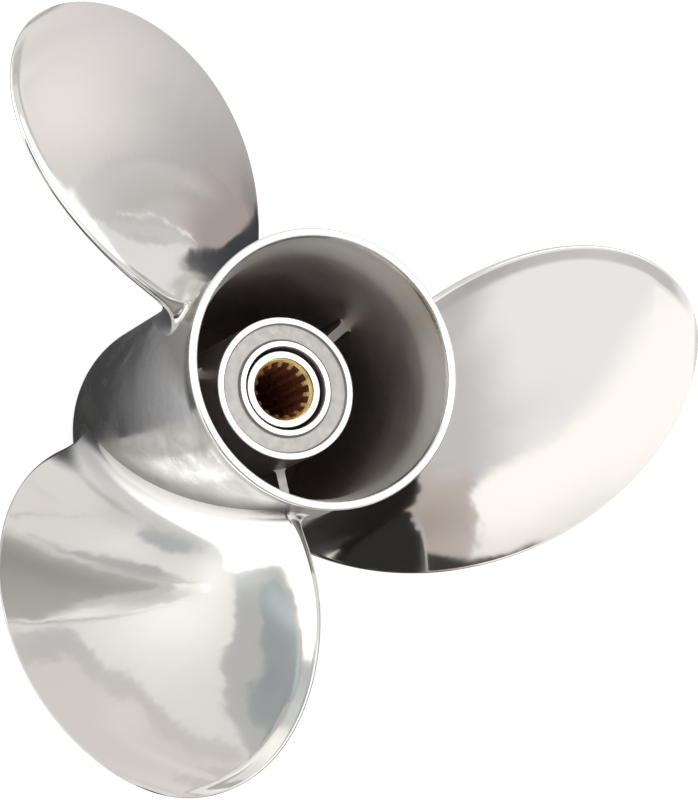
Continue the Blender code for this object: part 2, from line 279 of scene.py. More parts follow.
def barrel_profile():
    flare_steps = 18
    top = BARREL_LENGTH - 2.2 * MM
    flare = [(k / flare_steps, FLARE_START + (top - FLARE_START) * k / flare_steps) for k in range(1, flare_steps + 1)]
    outer = [(BARREL_R + (TAIL_R - BARREL_R) * t**1.7, z, 0.0, 0) for t, z in flare[:-1]]
    inner = [(BARREL_BORE_R + (TAIL_BORE_R - BARREL_BORE_R) * t**1.5, z, 0.0, 1) for t, z in flare[:-1]]
    points = (
        [(BARREL_BORE_R, 0.0, 0.9 * MM, 1), (BARREL_R, 0.0, 0.9 * MM, 0)]
        + [(BARREL_R, 0.03, 0.0, 0), (BARREL_R, 0.08, 0.0, 0), (BARREL_R, FLARE_START, 0.0, 0)]
        + outer
        + [(TAIL_R, BARREL_LENGTH, 1.0 * MM, 0), (TAIL_BORE_R, BARREL_LENGTH, 1.1 * MM, 0)]
        + inner[::-1]
        + [(BARREL_BORE_R, FLARE_START, 0.0, 1), (BARREL_BORE_R, 0.08, 0.0, 1), (BARREL_BORE_R, 0.03, 0.0, 1)]
    )
    return corner_round(points, 7)


def hub_profile():
    floor, flange = HUB_FACE - RECESS, HUB_FACE - 11.0 * MM
    points = [
        (HUB_R, HUB_FRONT_Z, 0.6 * MM, 0),
        (HUB_R, 0.06, 0.0, 0),
        (HUB_R, HUB_FACE, 0.6 * MM, 1),
        (HUB_RIM_R, HUB_FACE, 0.45 * MM, 0),
        (HUB_RIM_R - 0.3 * MM, floor, 0.5 * MM, 0),
        (BOSS_R + 0.8 * MM, floor, 0.6 * MM, 0),
        (BOSS_R, HUB_FACE, 0.45 * MM, 1),
        (BOSS_BORE_R, HUB_FACE, 0.3 * MM, 0),
        (BOSS_BORE_R, flange, 0.3 * MM, 0),
        (BUSH_SEAT_R, flange, 0.0, 0),
        (BUSH_SEAT_R, 0.06, 0.0, 0),
        (BUSH_SEAT_R, HUB_FRONT_Z, 0.6 * MM, 0),
    ]
    return corner_round(points, 5)


def rib_outline():
    inner, outer = HUB_R - SINK, BARREL_BORE_R + SINK
    half = RIB_THICKNESS / 2
    spread = half + RIB_FILLET
    steps = 10

    def on_arc(radius, y):
        return (math.sqrt(radius**2 - y**2), y)

    x0 = on_arc(HUB_R, spread)[0]
    x1 = on_arc(BARREL_BORE_R, spread)[0]
    top = [on_arc(inner, spread), (x0, spread)]
    for k in range(1, steps + 1):
        a = math.pi / 2 * k / steps
        top.append((x0 + RIB_FILLET * (1 - math.cos(a)), half + RIB_FILLET * (1 - math.sin(a))))
    for k in range(steps):
        a = math.pi / 2 * k / steps
        top.append((x1 - RIB_FILLET * (1 - math.sin(a)), half + RIB_FILLET * (1 - math.cos(a))))
    top += [(x1, spread), on_arc(outer, spread)]
    outer_arc = [on_arc(outer, spread * (1 - 2 * k / 8)) for k in range(1, 8)]
    inner_arc = [on_arc(inner, -spread * (1 - 2 * k / 8)) for k in range(1, 8)]
    return top + outer_arc + [(x, -y) for x, y in reversed(top)] + inner_arc


def extruded(outline, z0, z1):
    bm = bmesh.new()
    low = [bm.verts.new((x, y, z0)) for x, y in outline]
    high = [bm.verts.new((x, y, z1)) for x, y in outline]
    n = len(outline)
    for i in range(n):
        j = (i + 1) % n
        bm.faces.new((low[i], low[j], high[j], high[i]))
    bm.faces.new(low)
    bm.faces.new(high)
    return bm


def splined_bush():
    """Brass tube with internal splines; the teeth start at a chamfer a little inside each mouth."""
    bm = bmesh.new()
    r_out = SLEEVE_BORE_R - 0.05 * MM
    front, aft = SLEEVE_FRONT_Z + BUSH_RECESS, SLEEVE_AFT_Z - BUSH_RECESS
    mouth = r_out - 0.35 * MM
    pitch = 2 * math.pi / SPLINE_TEETH
    steps = [(-0.5, 0), (-0.40, 0), (-0.30, 0), (-0.27, 0.08), (-0.225, 0.5), (-0.18, 0.93), (-0.155, 1), (-0.08, 1), (0.0, 1), (0.08, 1), (0.155, 1), (0.18, 0.93), (0.225, 0.5), (0.27, 0.08), (0.30, 0), (0.40, 0)]
    ring = []
    for k in range(SPLINE_TEETH):
        for f, h in steps:
            ring.append((h, SPLINE_PHASE + (k + f) * pitch))

    def level(z, limit, tooth):
        pts = []
        for h, a in ring:
            r = SPLINE_MAJOR_R + (SPLINE_MINOR_R - SPLINE_MAJOR_R) * h * tooth
            r = max(r, limit)
            pts.append(bm.verts.new((r * math.cos(a), r * math.sin(a), z)))
        return pts

    rows = [
        level(front, mouth, 1.0),
        level(front + 0.7 * MM, SPLINE_MAJOR_R, 1.0),
        level(front + 2.8 * MM, 0.0, 1.0),
        level(0.06, 0.0, 1.0),
        level(aft - 2.8 * MM, 0.0, 1.0),
        level(aft - 0.7 * MM, SPLINE_MAJOR_R, 1.0),
        level(aft, mouth, 1.0),
    ]
    for z in (aft, front):
        rows.append([bm.verts.new((r_out * math.cos(a), r_out * math.sin(a), z)) for _, a in ring])
    n = len(ring)
    for s in range(len(rows)):
        here, there = rows[s], rows[(s + 1) % len(rows)]
        for i in range(n):
            j = (i + 1) % n
            bm.faces.new((here[i], here[j], there[j], there[i]))
    return bm


# ------------------------------------------------------------------ materials


class Nodes:
    """Small helper for building a node tree."""

    def __init__(self, name, base, roughness, metallic):
        self.mat = bpy.data.materials.new(name)
        self.mat.use_nodes = True
        self.tree = self.mat.node_tree
        self.bsdf = self.tree.nodes["Principled BSDF"]
        self.bsdf.inputs["Base Color"].default_value = (*base, 1)
        self.bsdf.inputs["Roughness"].default_value = roughness
        self.bsdf.inputs["Metallic"].default_value = metallic

    def add(self, kind, **props):
        node = self.tree.nodes.new(kind)
        for key, value in props.items():
            setattr(node, key, value)
        return node

    def link(self, a, b):
        self.tree.links.new(a, b)

    def position(self):
        return self.add("ShaderNodeTexCoord").outputs["Object"]

    def noise(self, scale, detail=3.0, rough=0.5, distortion=0.0, vector=None):
        n = self.add("ShaderNodeTexNoise")
        n.inputs["Scale"].default_value = scale
        n.inputs["Detail"].default_value = detail
        n.inputs["Roughness"].default_value = rough
        n.inputs["Distortion"].default_value = distortion
        self.link(vector or self.position(), n.inputs["Vector"])
        return n.outputs["Fac"]

    def ramp(self, value, lo, hi, a, b):
        n = self.add("ShaderNodeMapRange")
        n.inputs["From Min"].default_value = lo
        n.inputs["From Max"].default_value = hi
        n.inputs["To Min"].default_value = a
        n.inputs["To Max"].default_value = b
        self.link(value, n.inputs["Value"])
        return n.outputs["Result"]

    def mix(self, fac, a, b):
        n = self.add("ShaderNodeMix", data_type="RGBA")
        for key, value in ((6, a), (7, b)):
            if isinstance(value, tuple):
                n.inputs[key].default_value = (*value, 1)
            else:
                self.link(value, n.inputs[key])
        self.link(fac, n.inputs[0])
        return n.outputs[2]

    def bump(self, height, strength, distance, normal=None):
        n = self.add("ShaderNodeBump")
        n.inputs["Strength"].default_value = strength
        n.inputs["Distance"].default_value = distance
        self.link(height, n.inputs["Height"])
        if normal is not None:
            self.link(normal, n.inputs["Normal"])
        return n.outputs["Normal"]


def polished_steel():
    """Hand polished: a mirror with a faint waviness, less sharp low on the blades where the wheel can't reach."""
    m = Nodes("polished_steel", (0.80, 0.785, 0.765), 0.06, 1.0)
    place = m.position()
    xyz = m.add("ShaderNodeSeparateXYZ")
    m.link(place, xyz.inputs[0])
    flat = m.add("ShaderNodeCombineXYZ")
    m.link(xyz.outputs[0], flat.inputs[0])
    m.link(xyz.outputs[1], flat.inputs[1])
    reach = m.add("ShaderNodeVectorMath", operation="LENGTH")
    m.link(flat.outputs[0], reach.inputs[0])
    low = m.ramp(reach.outputs["Value"], 0.059, 0.080, 0.20, 0.055)
    smears = m.ramp(m.noise(45, 4, 0.6, vector=place), 0.35, 0.75, 0.0, 0.035)
    rough = m.add("ShaderNodeMath", operation="ADD")
    m.link(low, rough.inputs[0])
    m.link(smears, rough.inputs[1])
    m.link(rough.outputs[0], m.bsdf.inputs["Roughness"])
    waves = m.noise(70, 2, 0.45, vector=place)
    m.link(m.bump(waves, 0.6, 0.00012), m.bsdf.inputs["Normal"])
    return m.mat


def feet_dull_and_shaded(m, place):
    """1 against a blade's foot, 0 a finger's width away from it: the polishing wheel can't reach into that corner. The
    barrel also darkens its colour by this mask, which is painted shade in the corner.
    """
    xyz = m.add("ShaderNodeSeparateXYZ")
    m.link(place, xyz.inputs[0])
    angle = m.add("ShaderNodeMath", operation="ARCTAN2")
    m.link(xyz.outputs[1], angle.inputs[0])
    m.link(xyz.outputs[0], angle.inputs[1])
    # the foot climbs with the pitch: its angle at this height, with blade_1 as the start
    climb = m.add("ShaderNodeMath", operation="MULTIPLY_ADD")
    base = REF_Z + math.tan(RAKE) * (BARREL_R - REF_R)
    m.link(xyz.outputs[2], climb.inputs[0])
    climb.inputs[1].default_value = -2 * math.pi / PITCH
    climb.inputs[2].default_value = 2 * math.pi * base / PITCH - math.pi / 2 + math.radians(720 + 60)
    phase = m.add("ShaderNodeMath", operation="ADD")
    m.link(angle.outputs[0], phase.inputs[0])
    m.link(climb.outputs[0], phase.inputs[1])
    turn = m.add("ShaderNodeMath", operation="MODULO")
    m.link(phase.outputs[0], turn.inputs[0])
    turn.inputs[1].default_value = math.radians(120)
    away = m.add("ShaderNodeMath", operation="SUBTRACT")
    m.link(turn.outputs[0], away.inputs[0])
    away.inputs[1].default_value = math.radians(60)
    apart = m.add("ShaderNodeMath", operation="ABSOLUTE")
    m.link(away.outputs[0], apart.inputs[0])
    near = m.add("ShaderNodeMath", operation="MULTIPLY")
    m.link(m.ramp(apart.outputs[0], math.radians(17), math.radians(32), 1.0, 0.0), near.inputs[0])
    m.link(m.ramp(xyz.outputs[2], BARREL_LENGTH - 20 * MM, BARREL_LENGTH - 10 * MM, 1.0, 0.0), near.inputs[1])
    return near.outputs[0]


def barrel_steel():
    """The barrel's outside: polished, then dulled in patches; darkened beside the blades' feet, a painted shade, and
    lightened at the tail lip, a painted highlight.
    """
    m = Nodes("barrel_steel", (0.62, 0.615, 0.60), 0.24, 1.0)
    place = m.position()
    dull = m.noise(60, 5, 0.6, 0.4, vector=place)
    foot = feet_dull_and_shaded(m, place)
    rough = m.add("ShaderNodeMath", operation="ADD")
    m.link(m.ramp(dull, 0.35, 0.70, 0.17, 0.31), rough.inputs[0])
    m.link(m.ramp(foot, 0.0, 1.0, 0.0, 0.16), rough.inputs[1])
    m.link(rough.outputs[0], m.bsdf.inputs["Roughness"])
    colour = m.mix(m.ramp(dull, 0.35, 0.65, 0.0, 1.0), (0.70, 0.695, 0.685), (0.55, 0.54, 0.52))
    xyz = m.add("ShaderNodeSeparateXYZ")
    m.link(place, xyz.inputs[0])
    # over the last few millimetres to the tail lip the colour is lightened to 0.95: a painted highlight
    lip = m.ramp(xyz.outputs[2], BARREL_LENGTH - 5 * MM, BARREL_LENGTH - 1.5 * MM, 0.0, 1.0)
    # beside the blades' feet the colour is darkened to 0.33: painted shade of the corner
    m.link(m.mix(lip, m.mix(foot, colour, (0.33, 0.32, 0.30)), (0.95, 0.945, 0.93)), m.bsdf.inputs["Base Color"])
    waves = m.noise(160, 3, 0.5, vector=place)
    m.link(m.bump(waves, 0.5, 0.00012), m.bsdf.inputs["Normal"])
    return m.mat


def satin_steel():
    m = Nodes("satin_steel", (0.47, 0.455, 0.44), 0.45, 1.0)
    place = m.position()
    stain = m.noise(140, 4, 0.6, vector=place)
    m.link(m.mix(stain, (0.43, 0.415, 0.40), (0.52, 0.505, 0.49)), m.bsdf.inputs["Base Color"])
    m.link(m.ramp(m.noise(300, 3, 0.6, vector=place), 0.3, 0.7, 0.38, 0.52), m.bsdf.inputs["Roughness"])
    grain = m.noise(1400, 3, 0.65, vector=place)
    m.link(m.bump(grain, 0.25, 0.0002), m.bsdf.inputs["Normal"])
    return m.mat


def dark_bore():
    """Inside the exhaust: as cast and blasted, browner further in, and darker away from the tail lip because the last
    stretch before it is lightened, a painted highlight.
    """
    m = Nodes("bore_steel", (0.42, 0.39, 0.36), 0.46, 1.0)
    place = m.position()
    xyz = m.add("ShaderNodeSeparateXYZ")
    m.link(place, xyz.inputs[0])
    depth = m.ramp(xyz.outputs[2], BARREL_LENGTH - 62 * MM, BARREL_LENGTH - 8 * MM, 0.0, 1.0)
    stain = m.noise(55, 5, 0.62, vector=place)
    lip = m.mix(stain, (0.62, 0.595, 0.565), (0.70, 0.68, 0.65))
    deep = m.mix(stain, (0.69, 0.60, 0.575), (0.79, 0.71, 0.68))
    # the last stretch before the tail lip is lightened to 0.93: a painted highlight
    rim = m.ramp(xyz.outputs[2], BARREL_LENGTH - 20 * MM, BARREL_LENGTH - 7 * MM, 0.0, 1.0)
    m.link(m.mix(rim, m.mix(depth, deep, lip), (0.93, 0.93, 0.90)), m.bsdf.inputs["Base Color"])
    rough = m.add("ShaderNodeMath", operation="SUBTRACT")
    m.link(m.ramp(stain, 0.3, 0.7, 0.42, 0.52), rough.inputs[0])
    m.link(m.ramp(rim, 0.0, 1.0, 0.0, 0.08), rough.inputs[1])
    m.link(rough.outputs[0], m.bsdf.inputs["Roughness"])
    grain = m.noise(900, 3, 0.6, vector=place)
    m.link(m.bump(grain, 0.3, 0.0002), m.bsdf.inputs["Normal"])
    return m.mat


def bright_steel():
    """Turned faces: fine rings about the shaft."""
    m = Nodes("machined_steel", (0.86, 0.85, 0.82), 0.16, 1.0)
    place = m.position()
    rings = m.add("ShaderNodeTexWave", wave_type="RINGS", rings_direction="Z")
    rings.inputs["Scale"].default_value = 900.0
    rings.inputs["Distortion"].default_value = 1.5
    m.link(place, rings.inputs["Vector"])
    m.link(m.ramp(rings.outputs["Fac"], 0.0, 1.0, 0.13, 0.22), m.bsdf.inputs["Roughness"])
    m.link(m.bump(rings.outputs["Fac"], 0.15, 0.00002), m.bsdf.inputs["Normal"])
    return m.mat


def brass():
    """Broached splines: bright brass at the mouth; further in, darker brown and less metallic, which is painted shade
    of the deep bore.
    """
    m = Nodes("brass", (0.72, 0.52, 0.22), 0.30, 1.0)
    place = m.position()
    xyz = m.add("ShaderNodeSeparateXYZ")
    m.link(place, xyz.inputs[0])
    # 1 at the mouth, 0 further in, where colour and metal are darkened as painted shade
    mouth_unshaded = m.ramp(xyz.outputs[2], SLEEVE_AFT_Z - 7 * MM, SLEEVE_AFT_Z - 2.2 * MM, 0.0, 1.0)
    m.link(m.ramp(mouth_unshaded, 0.0, 1.0, 0.2, 1.0), m.bsdf.inputs["Metallic"])
    stain = m.noise(260, 3, 0.5, vector=place)
    # dark brown further in: painted shade of the deep bore
    deep = m.mix(stain, (0.33, 0.115, 0.055), (0.38, 0.14, 0.068))
    mouth_brass = m.mix(stain, (0.62, 0.42, 0.16), (0.80, 0.60, 0.28))
    m.link(m.mix(mouth_unshaded, deep, mouth_brass), m.bsdf.inputs["Base Color"])
    m.link(m.ramp(stain, 0.3, 0.7, 0.22, 0.40), m.bsdf.inputs["Roughness"])
    return m.mat


def rubber():
    m = Nodes("rubber", (0.015, 0.015, 0.015), 0.7, 0.0)
    grain = m.noise(700, 3, 0.6)
    m.link(m.bump(grain, 0.3, 0.0003), m.bsdf.inputs["Normal"])
    return m.mat


STEEL, BARREL, SATIN, BORE = polished_steel(), barrel_steel(), satin_steel(), dark_bore()
BRIGHT, BRASS, RUBBER = bright_steel(), brass(), rubber()

make_object("outer_barrel_fine", turned(barrel_profile(), 240), [BARREL, BORE], 30, ["outer_barrel"])
make_object("inner_hub_fine", turned(hub_profile(), 192), [SATIN, BRIGHT], 30, ["inner_hub"])
for k in range(3):
    turn = 2 * math.pi * k / 3
    make_object(f"blade_{k + 1}_fine", blade_mesh(), [STEEL], 60, [f"blade_{k + 1}"], turn)
    make_object(f"rib_{k + 1}_fine", extruded(rib_outline(), RIB_FRONT_Z, RIB_AFT_Z), [SATIN], 30, [f"rib_{k + 1}"], RIB_ANGLE + turn)
make_object("splined_bush_fine", splined_bush(), [BRASS], 30, ["splined_bush"])
sleeve = corner_round(
    [
        (SLEEVE_BORE_R, SLEEVE_FRONT_Z, 0.5 * MM, 0),
        (SLEEVE_R, SLEEVE_FRONT_Z, 0.6 * MM, 0),
        (SLEEVE_R, SLEEVE_AFT_Z, 0.5 * MM, 0),
        (SLEEVE_BORE_R, SLEEVE_AFT_Z, 0.15 * MM, 0),
    ],
    5,
)
make_object("drive_sleeve_fine", turned(sleeve, 144), [BRIGHT], 30, ["drive_sleeve"])
front = HUB_FRONT_Z + 3 * MM
bushing = corner_round(
    [
        (SLEEVE_R + 0.05 * MM, front + 1 * MM, 0.4 * MM, 0),
        (SLEEVE_R + 2.3 * MM, front + 3 * MM, 1.5 * MM, 0),
        (BUSH_SEAT_R - 2.5 * MM, front + 2 * MM, 1.5 * MM, 0),
        (BUSH_SEAT_R - 1.2 * MM, front, 0.6 * MM, 0),
        (BUSH_SEAT_R - 0.05 * MM, front + 1 * MM, 0.4 * MM, 0),
        (BUSH_SEAT_R - 0.05 * MM, HUB_FACE - 11.2 * MM, 0.3 * MM, 0),
        (SLEEVE_R + 0.05 * MM, HUB_FACE - 11.2 * MM, 0.3 * MM, 0),
    ],
    4,
)
make_object("rubber_bushing_fine", turned(bushing, 96), [RUBBER], 30, ["rubber_bushing"])

# ------------------------------------------------------------------ camera

camera = bpy.data.cameras.new("camera")
camera_ob = bpy.data.objects.new("camera", camera)
scene.collection.objects.link(camera_ob)
scene.camera = camera_ob
camera.sensor_width = 36.0
camera.sensor_fit = "AUTO"
camera.lens = 3891.55 * 36.0 / 800.0
camera.clip_start, camera.clip_end = 0.05, 50.0
CAMERA_RIGHT = Vector((0.712731718, -0.588628739, 0.381483558))
CAMERA_DOWN = Vector((-0.562856498, -0.804485241, -0.189726276))
CAMERA_AHEAD = Vector((0.418576231, -0.079496565, -0.904695659))
turn = Matrix((CAMERA_RIGHT, -CAMERA_DOWN, -CAMERA_AHEAD)).transposed().to_4x4()
camera_ob.matrix_world = Matrix.Translation(Vector((-0.68838, 0.11371, 1.48795 + BARREL_LENGTH))) @ turn

# ------------------------------------------------------------------ studio

# The pale floor and backdrop are what the lens sees. What the polished metal mirrors is the room round them: pale walls
# and ceiling, a white wall and a screen at the back, dark furniture low down, and strips of light on the floor.


def stage_mesh(name, mesh, material):
    mesh.materials.append(material)
    ob = bpy.data.objects.new(name, mesh)
    scene.collection.objects.link(ob)
    return ob


def plain_sheet(name, corners, material):
    mesh = bpy.data.meshes.new(name)
    mesh.from_pydata(corners, [], [range(len(corners))])
    return stage_mesh(name, mesh, material)


def room_light():
    """Glows by a mesh's own colour attribute; its alpha is how solid the panel is there."""
    mat = bpy.data.materials.new("room_light")
    mat.use_nodes = True
    tree = mat.node_tree
    tree.nodes.clear()
    own = tree.nodes.new("ShaderNodeAttribute")
    own.attribute_name = "light"
    cover = tree.nodes.new("ShaderNodeMapRange")
    cover.interpolation_type = "SMOOTHSTEP"
    tree.links.new(own.outputs["Alpha"], cover.inputs["Value"])
    emit = tree.nodes.new("ShaderNodeEmission")
    tree.links.new(own.outputs["Color"], emit.inputs["Color"])
    through = tree.nodes.new("ShaderNodeBsdfTransparent")
    mixed = tree.nodes.new("ShaderNodeMixShader")
    tree.links.new(cover.outputs["Result"], mixed.inputs[0])
    tree.links.new(through.outputs[0], mixed.inputs[1])
    tree.links.new(emit.outputs[0], mixed.inputs[2])
    out = tree.nodes.new("ShaderNodeOutputMaterial")
    tree.links.new(mixed.outputs[0], out.inputs[0])
    mat.cycles.emission_sampling = "NONE"
    return mat


ROOM_LIGHT = room_light()


def round_outline(corners, per_side):
    """A smooth closed curve through the corners."""
    out = []
    n = len(corners)
    for i in range(n):
        p0, p1, p2, p3 = (Vector(corners[(i + k) % n]) for k in (-1, 0, 1, 2))
        for k in range(per_side):
            t = k / per_side
            out.append(0.5 * (2 * p1 + (p2 - p0) * t + (2 * p0 - 5 * p1 + 4 * p2 - p3) * t * t + (3 * p1 - p0 - 3 * p2 + p3) * t**3))
    return out


def cut_outline(corners, step):
    """The closed outline in short steps."""
    out = []
    for i, corner in enumerate(corners):
        a, b = Vector(corner), Vector(corners[(i + 1) % len(corners)])
        cuts = max(1, round((b - a).length / step))
        out += [a.lerp(b, k / cuts) for k in range(cuts)]
    return out


def outward(points):
    """Unit normals of a closed outline, pointing away from what it holds."""
    area = sum(a.x * b.y - b.x * a.y for a, b in zip(points, points[1:] + points[:1]))
    sign = 1.0 if area > 0 else -1.0
    normals = []
    for i in range(len(points)):
        run = points[(i + 1) % len(points)] - points[i - 1]
        normals.append(Vector((run.y, -run.x)).normalized() * sign)
    return normals


def outline_distance(spots, outline):
    """Distance of each spot from the outline, negative inside it."""
    a = np.array([tuple(p) for p in outline])
    b = np.roll(a, -1, axis=0)
    run = b - a
    square = np.maximum((run**2).sum(1), 1e-18)
    result = []
    for chunk in np.array_split(spots, max(1, len(spots) // 400)):
        away = chunk[:, None, :] - a[None]
        t = np.clip((away * run[None]).sum(2) / square[None], 0, 1)
        near = np.sqrt(((away - t[..., None] * run[None]) ** 2).sum(2)).min(1)
        crosses = (a[None, :, 1] > chunk[:, None, 1]) != (b[None, :, 1] > chunk[:, None, 1])
        rise = np.where(np.abs(run[:, 1]) < 1e-12, 1e-12, run[:, 1])
        at = a[None, :, 0] + (chunk[:, None, 1] - a[None, :, 1]) / rise[None] * run[None, :, 0]
        inside = (crosses & (chunk[:, None, 0] < at)).sum(1) % 2 == 1
        result.append(np.where(inside, -near, near))
    return np.concatenate(result)


def wall_at(radius):
    """Azimuth and elevation in degrees on a round wall."""

    def place(az, el):
        az, el = math.radians(az), math.radians(el)
        return (radius * math.cos(el) * math.cos(az), radius * math.cos(el) * math.sin(az), radius * math.sin(el))

    return place


def floor_at(depth):
    """Metres on the floor, a little below its face so that sheets can lie over each other."""
    return lambda x, y: (x, y, -depth)


def lit(base, *spots):
    """Colour over a panel: a base with soft round spots (x, y, half width, half height, colour added)."""

    def shade(x, y):
        rgb = list(base)
        for sx, sy, w, h, add in spots:
            k = math.exp(-(((x - sx) / w) ** 2) - ((y - sy) / h) ** 2)
            rgb = [c + a * k for c, a in zip(rgb, add)]
        return [max(0.0, c) for c in rgb]

    return shade


def panel(name, outline, rgb, place, soft=1.0, jag=0.0, seed=0.0, curved=True, grid=None):
    """A panel of light, mirrored by the metal and seen nowhere else. Outline, soft edge and jag are in the place's units."""
    size = max(max(p[k] for p in outline) - min(p[k] for p in outline) for k in (0, 1))
    smooth = round_outline(outline, 12) if curved else [Vector(p) for p in outline]
    points = cut_outline(smooth, size / 150 if jag else size / 90)
    if jag:
        normals = outward(points)
        run = 0.0
        moved = []
        for i, p in enumerate(points):
            run += (p - points[i - 1]).length if i else 0.0
            push = noise.noise(Vector((run / (9 * jag), seed, 0.5))) + 0.5 * noise.noise(Vector((run / (3.5 * jag), seed, 9.5)))
            moved.append(p + normals[i] * push * jag * 1.6)
        points = moved
    width = (lambda x, y: soft) if not callable(soft) else soft
    normals = outward(points)
    outer = [p + n * width(p.x, p.y) * 0.5 for p, n in zip(points, normals)]
    inner = [p - n * width(p.x, p.y) * 0.5 for p, n in zip(points, normals)]
    cell = grid or size / 22
    lows = [min(p[k] for p in points) for k in (0, 1)]
    highs = [max(p[k] for p in points) for k in (0, 1)]
    xs, ys = (np.arange(lo + cell / 2, hi, cell) for lo, hi in zip(lows, highs))
    fill = np.array([(x, y) for x in xs for y in ys])
    widths = np.array([width(x, y) for x, y in fill])
    fill = fill[outline_distance(fill, points) < -0.5 * widths - 0.3 * cell]
    verts = outer + inner + [Vector(p) for p in fill]
    count = len(points)
    edges = [(k + i, k + (i + 1) % count) for k in (0, count) for i in range(count)]
    verts, _, faces, _, _, _ = geometry.delaunay_2d_cdt(verts, edges, [], 1, 1e-7)
    spots = np.array([tuple(v) for v in verts])
    widths = np.array([width(x, y) for x, y in spots])
    cover = np.clip(0.5 - outline_distance(spots, points) / widths, 0, 1)
    mesh = bpy.data.meshes.new(name)
    mesh.from_pydata([place(x, y) for x, y in spots], [], faces)
    colours = np.array([(*(rgb(x, y) if callable(rgb) else rgb), c) for (x, y), c in zip(spots, cover)], dtype=np.float32)
    mesh.attributes.new("light", "FLOAT_COLOR", "POINT").data.foreach_set("color", colours.ravel())
    ob = stage_mesh(name, mesh, ROOM_LIGHT)
    ob.visible_camera = False
    ob.visible_diffuse = False
    ob.visible_shadow = False
    return ob


def streak(line, half):
    """Outline of a narrow strip along a line."""
    points = [Vector(p) for p in line]
    sides = []
    for i, p in enumerate(points):
        run = points[min(i + 1, len(points) - 1)] - points[max(i - 1, 0)]
        side = Vector((-run.y, run.x)).normalized()
        reach = half * (0.35 if i in (0, len(points) - 1) else 1.0)
        sides.append((p + side * reach, p - side * reach))
    return [tuple(a) for a, _ in sides] + [tuple(b) for _, b in reversed(sides)]


def studio_world():
    world = bpy.data.worlds.new("studio")
    scene.world = world
    world.use_nodes = True
    tree = world.node_tree
    coord = tree.nodes.new("ShaderNodeTexCoord")
    xyz = tree.nodes.new("ShaderNodeSeparateXYZ")
    tree.links.new(coord.outputs["Generated"], xyz.inputs[0])
    half = tree.nodes.new("ShaderNodeMapRange")
    half.inputs["From Min"].default_value = -1.0
    tree.links.new(xyz.outputs[2], half.inputs["Value"])
    ramp = tree.nodes.new("ShaderNodeValToRGB")
    tree.links.new(half.outputs["Result"], ramp.inputs[0])
    stops = [(-90, (0.85, 0.84, 0.83)), (-30, (0.86, 0.85, 0.835)), (-12, (0.80, 0.79, 0.78)), (4, (0.80, 0.79, 0.78)), (25, (0.84, 0.83, 0.83)), (42, (0.90, 0.895, 0.895)), (58, (0.86, 0.86, 0.86)), (90, (0.84, 0.84, 0.845))]
    ramp.color_ramp.interpolation = "EASE"
    while len(ramp.color_ramp.elements) < len(stops):
        ramp.color_ramp.elements.new(0.5)
    for element, (elevation, rgb) in zip(ramp.color_ramp.elements, stops):
        element.position = 0.5 + 0.5 * math.sin(math.radians(elevation))
    for element, (elevation, rgb) in zip(ramp.color_ramp.elements, stops):
        element.color = (*(v / 2.0 for v in rgb), 1.0)
    tree.links.new(ramp.outputs[0], tree.nodes["Background"].inputs["Color"])
    tree.nodes["Background"].inputs["Strength"].default_value = 2.0


def floor_paper(name, rgb, glow):
    m = Nodes(name, rgb, 0.9, 0.0)
    m.bsdf.inputs["Specular IOR Level"].default_value = 0.0
    m.bsdf.inputs["Emission Color"].default_value = (1, 1, 1, 1)
    m.bsdf.inputs["Emission Strength"].default_value = glow
    return m.mat


def backdrop():
    """A pale dome round everything, seen only by the lens."""
    bm = bmesh.new()
    bmesh.ops.create_uvsphere(bm, u_segments=48, v_segments=24, radius=12.0)
    mesh = bpy.data.meshes.new("backdrop")
    bm.to_mesh(mesh)
    bm.free()
    mat = bpy.data.materials.new("backdrop")
    mat.use_nodes = True
    tree = mat.node_tree
    tree.nodes.clear()
    emit = tree.nodes.new("ShaderNodeEmission")
    emit.inputs["Color"].default_value = (1.0, 1.0, 1.0, 1.0)
    out = tree.nodes.new("ShaderNodeOutputMaterial")
    tree.links.new(emit.outputs[0], out.inputs[0])
    mat.cycles.emission_sampling = "NONE"
    ob = stage_mesh("backdrop", mesh, mat)
    ob.visible_glossy = False
    ob.visible_diffuse = False
    ob.visible_shadow = False
    return ob


def barrel_shade(x, y):
    """The floor round the barrel, dark against its foot and clearing outwards."""
    reach = math.hypot(x, y)
    side = smoothstep(0.0, 1.0, 0.5 + 0.5 * math.cos(math.atan2(y, x) - math.radians(140)))
    start = 0.068 + 0.008 * side
    grow = smoothstep(start, start + 0.050, reach)
    dark = 0.10 - 0.045 * side
    k = dark + (0.66 - dark) * grow
    return (k, k * (1.0 + 0.02 * (1 - grow)), k * (1.0 + 0.07 * (1 - grow) + 0.01))


def round_plan(x, y, half_x, half_y):
    return [(x + half_x * math.cos(math.radians(a)), y + half_y * math.sin(math.radians(a))) for a in range(0, 360, 20)]


def right_wall(az, el):
    """Dim along the lower edge, brighter above, dim again towards the corner."""
    rise = el - (5 - 0.4545 * (az + 90))
    k = 0.66 + 0.36 * smoothstep(2, 16, rise) - 0.16 * math.exp(-(((az + 84) / 7) ** 2))
    k += 0.10 * math.exp(-(((az + 105) / 7) ** 2 + ((el - 19) / 5) ** 2)) - 0.08 * math.exp(-(((az + 133) / 7) ** 2 + ((el - 38) / 6) ** 2))
    k -= 0.18 * math.exp(-(((az + 103) / 4) ** 2 + ((el - 3) / 5) ** 2))
    return (k, 0.98 * k, 0.99 * k)


